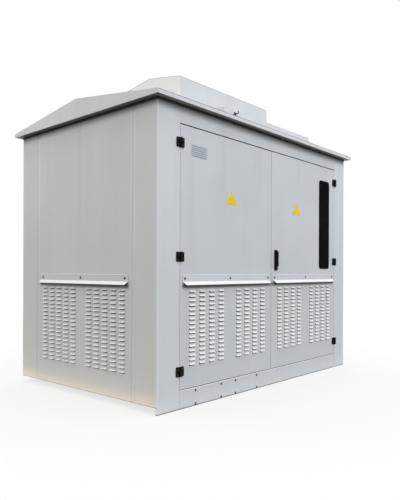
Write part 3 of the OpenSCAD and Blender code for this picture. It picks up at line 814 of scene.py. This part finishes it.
def wall_plate(name, corners, stock, out, body, finish, wall=FRONT):
    """Plate on a wall, its back at a distance out; stock is corner radius, thickness and rolled edge."""
    points, faces = plate(corners, *stock)
    return make_piece(name, on_wall(wall, (points + np.array([0, 0, out]), faces)), body, finish)


def oblong(low_along, high_along, low_up, high_up):
    return [(low_along, low_up), (high_along, low_up), (high_along, high_up), (low_along, high_up)]


print("points of an oblong plate:", len(plate(oblong(0, 1, 0, 1), 0.1, 0.1, 0.05)[0]))

# %% [markdown]
# A small pale film near the top of the left door has blank ruled rows. The rules could be thin pieces, but
# ink has no thickness, so they are in the finish: dark in the lower part of each row, inside a margin.

# %% Ruled film
LABEL_ALONG = (-0.954, -0.788)
LABEL_UP = (1.675, 1.757)
LABEL_ROW = 0.0136
LABEL_MARGIN = (0.008, 0.012)
RULE_STEP = (0.52, 0.38)
FADE_SHARE = 0.65
INK_SHARE = 0.9
FILM_TONE = (0.480, 0.545, 0.610)
INK_TONE = (0.10, 0.12, 0.15)


def ruled_film():
    """Pale film: ink = rule of the row x margin at both ends x a faded cloud."""
    finish, start = new_finish("ruled_film")
    place = start.node("ShaderNodeTexCoord", output="Object")
    spot = axes(start, place, "XZ")
    row = start.maths("FRACT", (spot["Z"] - LABEL_UP[0]) * (1 / LABEL_ROW))
    margin = (spot["X"].between(*(LABEL_ALONG[0] + step for step in LABEL_MARGIN))
              * spot["X"].between(*(LABEL_ALONG[1] - step for step in LABEL_MARGIN)))
    fade = noise(start, place, 60.0, detail=3.0)
    ink = row.between(*RULE_STEP) * margin * (1 - FADE_SHARE + FADE_SHARE * fade) * INK_SHARE
    fine = noise(start, place, 700.0)
    bump = start.node("ShaderNodeBump", {"Strength": 0.2, "Distance": 0.0002, "Height": fine})
    end_finish(start, Base_Color=ink.blend(FILM_TONE, INK_TONE), Roughness=0.40 + 0.10 * fade, Normal=bump,
               Specular_IOR_Level=0.3)
    return finish


label_film = ruled_film()
print("rows on the film:", round((LABEL_UP[1] - LABEL_UP[0]) / LABEL_ROW))

# %% [markdown]
# A tall black plate is on the right door, the ruled film on the left one, and each door carries a plain
# yellow three-cornered plate. They could be flat colours on the doors, but a real plate has an edge that
# catches light, so all come from the plate shape.

# %% Plates on the doors
BOARD = (0.030, 0.0030, 0.0010)
FILM = (0.004, 0.0010, 0.0004)
TRIANGLE = (0.004, 0.0012, 0.0005)
TRIANGLE_UP = (1.393, 1.484)
TRIANGLE_SLOPE = 0.74
TRIANGLE_ALONG = {"left_door": -0.515, "right_door": 0.380}
BOARD_SPAN = (0.769, 0.955, 0.931, 1.741)

wall_plate("right_door_plate", oblong(*BOARD_SPAN), BOARD, FACE, "right_door", black_film)
label_corners = oblong(*LABEL_ALONG, *LABEL_UP)
wall_plate("left_door_label", label_corners, FILM, FACE, "left_door", label_film)
foot, tip = TRIANGLE_UP
half = (tip - foot) * TRIANGLE_SLOPE
for door, along in TRIANGLE_ALONG.items():
    corners = [(along - half, foot), (along + half, foot), (along, tip)]
    wall_plate(door + "_triangle", corners, TRIANGLE, FACE, door, yellow_enamel)

# %% [markdown]
# ## Seam beads
# The louvred side panels are closed to their strips with a bead of painted sealant, a pale upright line. A
# second line marks the edge of the joggle in the strip. A curve with a bevel would give a round cord, half
# of it sunk in the wall, so a half-round profile is carried up the wall instead.

# %% Seam beads
SEAM_HALF = 0.0055
JOGGLE = 0.036
JOGGLE_HALF = 0.0030
BEAD_TALL = 0.0022
BEAD_TAPER = 0.003
SEAM_END = 0.001


def upright_beads(along, half, low, high, out):
    """Half-round beads: along = place + half x cos, out = tall x sin, carried up; ends drawn to the wall."""
    angle = np.linspace(0, np.pi, 9)
    up = np.array([low, low + BEAD_TAPER, high - BEAD_TAPER, high])
    swell = np.array([0.0, 1.0, 1.0, 0.0])
    shape = np.stack(np.broadcast_arrays(half * np.cos(angle)[None, :], up[:, None],
                                         BEAD_TALL * np.sin(angle)[None, :] * swell[:, None]), axis=-1)
    return copies(*grid_shape(shape), [(place, 0.0, out) for place in along])


for side, wall in (("left", LEFT), ("right", RIGHT)):
    seam = wall_span(side + "_louvre_panel", wall)[1]
    low, high = box_of(side + "_louvre_panel")
    reach = low[2] + SEAM_END, high[2] - SEAM_END, face_out(side + "_front_strip", wall)
    beads = joined(upright_beads([-seam, seam], SEAM_HALF, *reach),
                   upright_beads([-seam - JOGGLE, seam + JOGGLE], JOGGLE_HALF, *reach))
    make_piece(side + "_seam_beads", on_wall(wall, beads), "house", bead_coat)

# %% [markdown]
# The same sealant closes the top edge of each hood's flange, so that rain doesn't run down behind it. That
# bead lies level. It needs no new shape: along and up of the upright bead change places.

# %% Hood beads
HOOD_BEAD_HALF = 0.0027
LEVEL = [1, 0, 2]

for hood, (wall, _, body, _) in HOODS.items():
    top = box_of(hood)[1][2]
    points, faces = upright_beads([top], HOOD_BEAD_HALF, *wall_span(hood, wall), skin_out(wall))
    make_piece(hood + "_bead", on_wall(wall, (points[:, LEVEL], faces)), body, bead_coat)

# %% [markdown]
# ## Door seal
# Behind the doors a rubber seal runs round the frame on the stop lips, and the leaves close against it.
# Four straight strips would leave open mitres, so one half-round profile is carried round the opening: each
# of its points is an outline of the opening, drawn in by an offset and set at a depth.

# %% Door seal
SEAL_HALF = 0.005
SEAL_TALL = 0.006
SEAL_MIDDLE = 0.0075
SEAL_CORNER = 0.012
STOP_DEPTH = 0.042
STOP_LIP = 0.015


def seal_ring(corners, radius, depth):
    """Half-round profile (sideways = half x cos, forwards = tall x sin) carried round an outline."""
    angle = np.linspace(0, np.pi, 9)
    forwards = np.clip(SEAL_TALL * np.sin(angle), 0, None)
    rims = np.stack([arc_outline(corners, radius, inset) for inset in SEAL_HALF * np.cos(angle)])
    return grid_shape(at_heights(rims, depth + forwards), loop=True)


half_open = wall_span("front_header", FRONT)[1]
sill = box_of("front_kick_plate")[1][2] - STOP_LIP
head = box_of("front_header")[0][2] + STOP_LIP
reach = half_open - SEAL_MIDDLE
seal_corners = oblong(-reach, reach, sill + SEAL_MIDDLE, head - SEAL_MIDDLE)
seal = seal_ring(seal_corners, SEAL_CORNER, FACE - STOP_DEPTH)
make_piece("front_door_seal", on_wall(FRONT, seal), "house", door_rubber)

# %% [markdown]
# A second strip of rubber closes the gap over the doors. It is glued to the header's lower edge and hangs
# into the gap, so the line over the doors is the darkest one on the front: the dark rubber also stands in for
# the shade in that gap. It could be one more carried profile, but it is flat, so the plate shape is all it
# takes.

# %% Head strip
HEAD_DROP = 0.0035
HEAD_LAP = 0.7 * HEAD_DROP
HEAD_STRIP = (0.0010, 0.0012, 0.0004)
head_corners = oblong(-half_open, half_open, head - HEAD_DROP, head + HEAD_LAP)
wall_plate("door_head_strip", head_corners, HEAD_STRIP, FACE, "house", door_rubber)

# %% [markdown]
# Under each leaf hangs a narrow sweep of the same rubber, a little behind the face, which darkens the line
# over the sill: the dark rubber also stands in for the shade under the leaf. One long sweep would be shorter
# to write, but it has to swing with the doors, so each leaf has its own.

# %% Door sweeps
SWEEP_DROP = 0.0045
SWEEP_LAP = 0.0005
SWEEP_BACK = 0.0032
SWEEP_END = 0.004
SWEEP_STRIP = (0.0008, 0.0012, 0.0004)

for side in ("left", "right"):
    door = side + "_door"
    low, high = wall_span(door + "_leaf", FRONT)
    foot = box_of(door + "_leaf")[0][2]
    corners = oblong(low + SWEEP_END, high - SWEEP_END, foot - SWEEP_DROP, foot + SWEEP_LAP)
    wall_plate(door + "_sweep", corners, SWEEP_STRIP, FACE - SWEEP_BACK, door, door_rubber)

# %% [markdown]
# ## Louvre screens
# Behind each louvre bank a screen of woven wire keeps insects and vermin out, and makes the slots look dark.
# Real wires would take millions of faces and are far finer than a picture shows, so the screen is one thin
# plate, and its finish weaves the wires. The holes between the wires are painted with the shade of the house
# behind them.

# %% Woven wire
WIRE_PITCH = 0.004
WEAVE_STEP = (-0.3, 0.5)
HOLE_SHADE_TONE = (0.006, 0.006, 0.006)
WIRE_TONE = (0.045, 0.045, 0.047)


def woven_wire():
    """Wire cloth: the weave's height is sine along x sine up, painted shade in the holes, grey on the wires.
    """
    finish, start = new_finish("woven_wire")
    place = start.node("ShaderNodeTexCoord", output="Object")
    spot = axes(start, place)
    turns = 2 * np.pi / WIRE_PITCH
    weave = start.maths("SINE", turns * (spot["X"] + spot["Y"])) * start.maths("SINE", turns * spot["Z"])
    dust = noise(start, place, 9.0, detail=4.0, roughness=0.6)
    wires = weave.between(*WEAVE_STEP) * (0.6 + 0.4 * dust)
    bump = start.node("ShaderNodeBump", {"Strength": 0.5, "Distance": 0.001, "Height": weave})
    end_finish(start, Base_Color=wires.blend(HOLE_SHADE_TONE, WIRE_TONE), Roughness=0.60 + 0.15 * dust, Normal=bump,
               Specular_IOR_Level=0.2)
    return finish


wire_cloth = woven_wire()
print("wires in 0.1:", round(0.1 / WIRE_PITCH))

# %% Louvre screens
SCREEN_THICK = 0.0015
SCREEN_STOCK = (0.010, SCREEN_THICK, 0.0005)
SCREEN_BACK = 0.004
SCREEN_EDGE = 0.030

for hood, (wall, _, body, tray) in HOODS.items():
    low, high = wall_span(tray, wall)
    foot, top = box_of(tray)[0][2] + SCREEN_EDGE, box_of(hood)[1][2]
    corners = oblong(low + SCREEN_EDGE, high - SCREEN_EDGE, foot, top)
    out = skin_out(wall) - SCREEN_BACK - SCREEN_THICK
    wall_plate(tray + "_screen", corners, SCREEN_STOCK, out, body, wire_cloth, wall)

# %% [markdown]
# ## Roof seal
# The roof is lifted on as one unit, and a dark foam strip between its soffit and the walls keeps rain out.
# It shows as a dark line along the top of every wall. Strips could be laid end to end, but one profile
# carried round the house, like the door seal, closes its own corners.

# %% Roof seal
ROOF_SEAL_TALL = 0.016
ROOF_SEAL_PROUD = 0.004
ROOF_SEAL_SUNK = 0.0005


def roof_seal_ring(corner, top):
    """Flat oval profile (out = proud x root of sin, up = half the height x cos) carried round the house."""
    angle = np.linspace(0, np.pi, 9)
    proud = ROOF_SEAL_PROUD * np.sqrt(np.clip(np.sin(angle), 0, 1)) - ROOF_SEAL_SUNK
    corners = oblong(-corner[0], corner[0], -corner[1], corner[1])
    rims = np.stack([arc_outline(corners, BEND, -out) for out in proud])
    return grid_shape(at_heights(rims, top - ROOF_SEAL_TALL * (1 - np.cos(angle)) / 2), loop=True)


make_piece("roof_seal", roof_seal_ring(HOUSE_CORNER, EAVES), "house", door_rubber)

# %% [markdown]
# ## Handle
# The swing handle has a cast lever that hangs over its plate, waisted for the fingers. A subdivided box
# could be pulled into that shape by hand. A loft keeps the sizes in view: a rounded-square section is
# carried down the lever, with a width that follows the waist and shrinks to nothing over the round ends.

# %% Lever shape
LEVER_WIDE = 0.0130
LEVER_WAIST = 0.22
LEVER_TIP = 0.5 * LEVER_WIDE
WAIST_FROM = 0.1
SQUARENESS = 0.6


def rounded(wave):
    """Signed power of a sine or cosine: a circle becomes a rounded square."""
    return np.sign(wave) * np.abs(wave) ** SQUARENESS


def lever_loft(top, bottom, middle, back, front, rows=40, sides=28):
    """Section x = wide(u) x rounded(cos), out = middle + deep(u) x rounded(sin), down the lever.

    wide(u) is waisted by a sine bow and closed by a quarter-circle over each end."""
    u = (1 - np.cos(np.linspace(0, np.pi, rows))) / 2
    angle = full_turn(sides)
    length = top - bottom
    near_top = np.clip(1 - u * length / LEVER_WIDE, 0, 1)
    near_end = np.clip(1 - (1 - u) * length / LEVER_TIP, 0, 1)
    close = np.sqrt(np.clip(1 - near_top ** 2, 0, 1)) * np.sqrt(np.clip(1 - near_end ** 2, 0, 1))
    bow = np.sin(np.pi * np.clip(u * (1 + WAIST_FROM) - WAIST_FROM, 0, 1)) ** 2
    wide = LEVER_WIDE * (1 - LEVER_WAIST * bow) * close
    deep = (front - back) / 2 * np.clip(close, 0, 1) ** 0.5
    points = np.stack([middle + wide[:, None] * rounded(np.cos(angle))[None, :],
                       np.broadcast_to((top - u * length)[:, None], (rows, sides)),
                       (front + back) / 2 + deep[:, None] * rounded(np.sin(angle))[None, :]], axis=-1)
    return grid_shape(points)


print("lever is waisted to", round(2 * LEVER_WIDE * (1 - LEVER_WAIST), 4))

# %% Lever
LEVER_DEEP = 0.013
SHAFT_RADIUS = 0.006
SHAFT_LAP = 0.004
SHAFT_CLEAR = 0.0003
SHAFT_SIDES = 24

low, high = box_of("handle_lever")
middle = (low[0] + high[0]) / 2
lever_front = -low[1]
lever_back = lever_front - LEVER_DEEP
loft = lever_loft(high[2], low[2], middle, lever_back, lever_front)
reach = np.array([0.0, SHAFT_RADIUS, SHAFT_RADIUS, 0.0])[:, None]
rise = np.repeat([lever_back + SHAFT_LAP, FACE + SHAFT_CLEAR], 2)[:, None]
axle = np.array([middle, high[2] - LEVER_WIDE, 0])
shaft = grid_shape(axle + turned(reach, rise, full_turn(SHAFT_SIDES)))
handle = on_wall(FRONT, joined(loft, shaft))
lever = make_piece("swing_lever", handle, "handle", black_casting)
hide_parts("handle_lever")

# %% [markdown]
# The lock is a small bright barrel end with a slot for the key. A Boolean cut would leave long thin faces
# round the slot, so a disc in polar rings is pressed in where a ring point lies inside the slot.

# %% Lock
LOCK_RADIUS = 0.0075
LOCK_TALL = 0.0015
LOCK_UP = 0.017
KEY_HALF = 0.0011
KEY_LONG = 0.0048
KEY_RAMP = 0.35
KEY_DEPTH = 0.7


def lock_disc(place, rings=16, sides=48):
    """Disc whose height dips by a ramp where a point lies in the key slot, with a rim down to the plate."""
    angle = full_turn(sides)
    reach = LOCK_RADIUS * np.linspace(0, 1, rings)[:, None]
    across, along = reach * np.cos(angle), reach * np.sin(angle)
    inside = np.maximum(np.abs(across) / KEY_HALF, np.abs(along) / KEY_LONG)
    dip = np.clip((1 + KEY_RAMP - inside) / KEY_RAMP, 0, 1)
    rise = LOCK_TALL * (1 - KEY_DEPTH * dip)
    rim = np.stack([across[-1], along[-1], np.zeros(sides)], axis=-1)[None]
    points = np.concatenate([np.stack([across, along, rise], axis=-1), rim])
    return grid_shape(points + np.asarray(place))


low, high = box_of("handle_plate")
lock = lock_disc((middle, low[2] + LOCK_UP, -low[1]))
make_piece("lock_core", on_wall(FRONT, lock), "right_door", bright_zinc)

# %% [markdown]
# ## Floor
# The floor is a wide pale sheet under the house. A plain white sheet would light the eaves from below, and
# the real ones are dark. So it is white only to rays that show the background, with a soft shadow. It
# throws up little light, as dark paving does, and a warm pale strip lights the foot of the left wall.

# %% Floor
FLOOR_HALF = 60.0
FLOOR_LINES = 9
PAVING_TONE = (0.060, 0.058, 0.055)
STRIP_TONE = (0.95, 0.80, 0.56)
SHADOW_TONE = (0.16, 0.16, 0.16)
FLOOR_GLOW = 0.74
STRIP_FROM = (-1.40, -1.34)
STRIP_TO = (-1.20, -1.26)
STRIP_BEHIND = (-0.85, -0.75)


def add_floor():
    """Flat grid on the ground: a plane of along and across steps."""
    line = np.linspace(-FLOOR_HALF, FLOOR_HALF, FLOOR_LINES)
    x, y = np.meshgrid(line, line)
    points = np.stack([x, y, np.zeros_like(x)], axis=-1).reshape(-1, 3)
    mesh = bpy.data.meshes.new("floor")
    mesh.from_pydata(points.tolist(), [], grid_faces(FLOOR_LINES, FLOOR_LINES, ring=False).tolist())
    floor = bpy.data.objects.new("floor", mesh)
    bpy.context.collection.objects.link(floor)
    return floor


def seen_ray(start):
    """1 for rays that show the background: from the camera, off gloss or through glass."""
    rays = [start.node("ShaderNodeLightPath", output=name)
            for name in ("Is Camera Ray", "Is Glossy Ray", "Is Transmission Ray")]
    return start.maths("MINIMUM", rays[0] + rays[1] + rays[2], 1.0)


def pale_floor():
    """White to rays that show the background, else dark paving with a warm strip by the left wall."""
    finish, start = new_finish("pale_floor")
    spot = axes(start, start.node("ShaderNodeTexCoord", output="Object"), "XY")
    across = spot["X"].between(*STRIP_FROM) * spot["X"].between(*STRIP_TO)
    beside = across * spot["Y"].between(*STRIP_BEHIND)
    seen = seen_ray(start)
    colour = seen.blend(beside.blend(PAVING_TONE, STRIP_TONE), SHADOW_TONE)
    end_finish(start, Base_Color=colour, Roughness=0.95, Specular_IOR_Level=0.0,
               Emission_Color=seen.blend((0, 0, 0), (1, 1, 1)), Emission_Strength=FLOOR_GLOW)
    return finish


floor = add_floor()
floor.data.materials.append(pale_floor())
print("floor faces:", len(floor.data.polygons))

# %% [markdown]
# ## Sky
# The light is that of a large soft studio. Area lamps would show in the gloss, so the world itself is the
# lamp: an even dome with a brighter belt a third of the way up, as a ring of soft boxes gives, and a little
# more overhead, which shades the walls under the eaves. It is warmer on the left.

# %% Sky
SKY_LEVEL = 0.66
SKY_BELT = 1.27
SKY_TOP = 1.27
BELT_FROM = (0.0, 0.12)
BELT_TO = (0.62, 0.36)
TURNS_WARM = (0.15, -0.75)
COOL = (0.98, 1.00, 1.03)
WARM = (0.76, 0.725, 0.67)
WHITE = (1.0, 1.0, 1.0, 1.0)


def add_sky():
    """World light: level + belt + top x height of the way, warm on the left; white where it is seen."""
    world = bpy.data.worlds.new("soft_sky")
    world.use_nodes = True
    world.node_tree.nodes.clear()
    start = Wire(world.node_tree)
    way = axes(start, start.node("ShaderNodeTexCoord", output="Generated"), "XZ")
    tint = way["X"].between(*TURNS_WARM).blend(COOL, WARM)
    belt = way["Z"].between(*BELT_FROM) * way["Z"].between(*BELT_TO)
    strength = SKY_LEVEL + SKY_BELT * belt + SKY_TOP * way["Z"].between(0.0, 1.0)
    light = start.node("ShaderNodeBackground", {"Color": tint, "Strength": strength})
    white = start.node("ShaderNodeBackground", {"Color": WHITE, "Strength": 1.0})
    shown = start.node("ShaderNodeMixShader", {0: seen_ray(start), 1: light, 2: white})
    start.node("ShaderNodeOutputWorld", {"Surface": shown})
    bpy.context.scene.world = world
    return world


print("sky:", add_sky().name)
